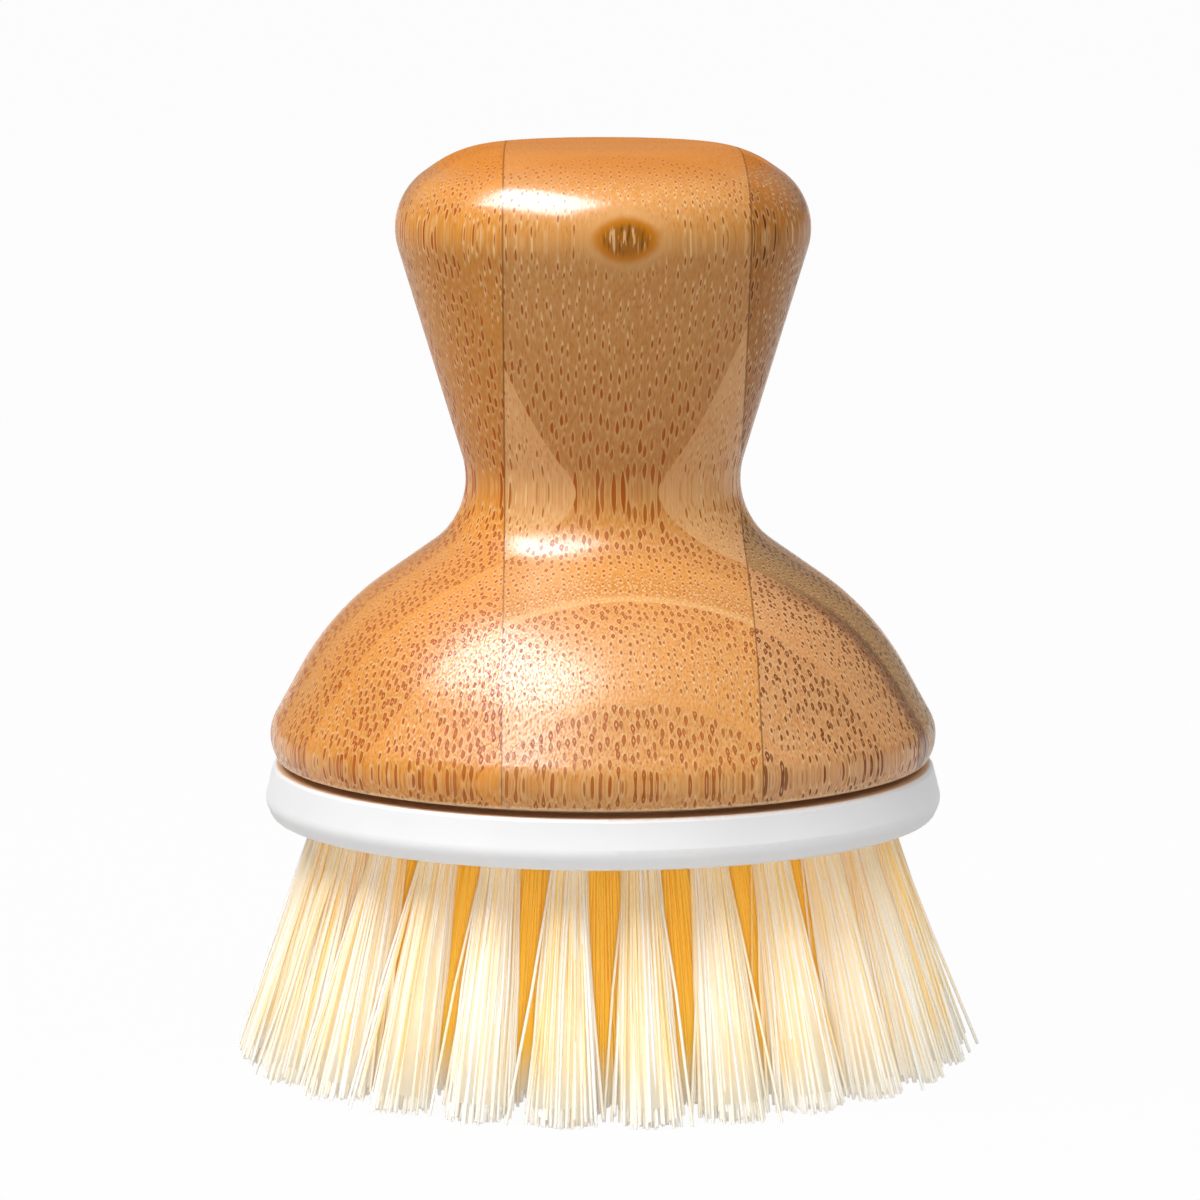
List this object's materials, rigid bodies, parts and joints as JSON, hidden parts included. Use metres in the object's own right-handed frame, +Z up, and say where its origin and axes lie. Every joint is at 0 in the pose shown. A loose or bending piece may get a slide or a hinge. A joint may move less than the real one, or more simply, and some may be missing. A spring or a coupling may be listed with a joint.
{
  "type": "palm brush",
  "caption": "Round palm brush with a turned laminated bamboo knob handle, a white twist-off head and flared cream nylon tufts, for washing dishes and vegetables.",
  "frame": {"origin": "on the surface that the brush stands on, under the middle of the bristle tips", "axes": "+Z up along the handle's axis, -Y towards the front, +X to the right seen from the front"},
  "size_m": [0.079, 0.0789, 0.0969],
  "materials": {
    "bamboo": "satin varnish",
    "white_plastic": "satin",
    "bristle_nylon": "cream filament",
    "socket_plastic": "moulded",
    "screw_steel": "zinc plated",
    "anchor_steel": "bright"
  },
  "bodies": {
    "handle": {"back_left_strip_1": "bamboo", "back_left_strip_2": "bamboo", "back_left_strip_2_knob": "bamboo", "back_left_strip_3": "bamboo", "back_left_strip_4": "bamboo", "back_middle_strip_1": "bamboo", "back_middle_strip_2": "bamboo", "back_middle_strip_3": "bamboo", "back_middle_strip_4": "bamboo", "back_right_strip_1": "bamboo", "back_right_strip_1_knob": "bamboo", "back_right_strip_2": "bamboo", "back_right_strip_3": "bamboo", "core_left_strip": "bamboo", "core_middle_strip": "bamboo", "core_right_strip": "bamboo", "front_left_strip_1": "bamboo", "front_left_strip_2": "bamboo", "front_left_strip_2_knob": "bamboo", "front_left_strip_3": "bamboo", "front_middle_strip_1": "bamboo", "front_middle_strip_2": "bamboo", "front_middle_strip_3": "bamboo", "front_middle_strip_4": "bamboo", "front_right_strip_1": "bamboo", "front_right_strip_1_knob": "bamboo", "front_right_strip_2": "bamboo", "front_right_strip_3": "bamboo", "twist_socket": "socket_plastic", "socket_screws": "screw_steel"},
    "brush_head": {"brush_block": "white_plastic", "tuft_anchors": "anchor_steel", "centre_tuft": "bristle_nylon", "tuft_ring_1": "bristle_nylon", "tuft_ring_2": "bristle_nylon", "tuft_ring_3": "bristle_nylon", "tuft_ring_4": "bristle_nylon"}
  },
  "joints": [
    {"name": "head_twist", "type": "hinge", "parent": "handle", "child": "brush_head", "pos_m": [0, 0, 0.0412], "axis": [0, 0, -1], "range_deg": [0, 60]}
  ]
}
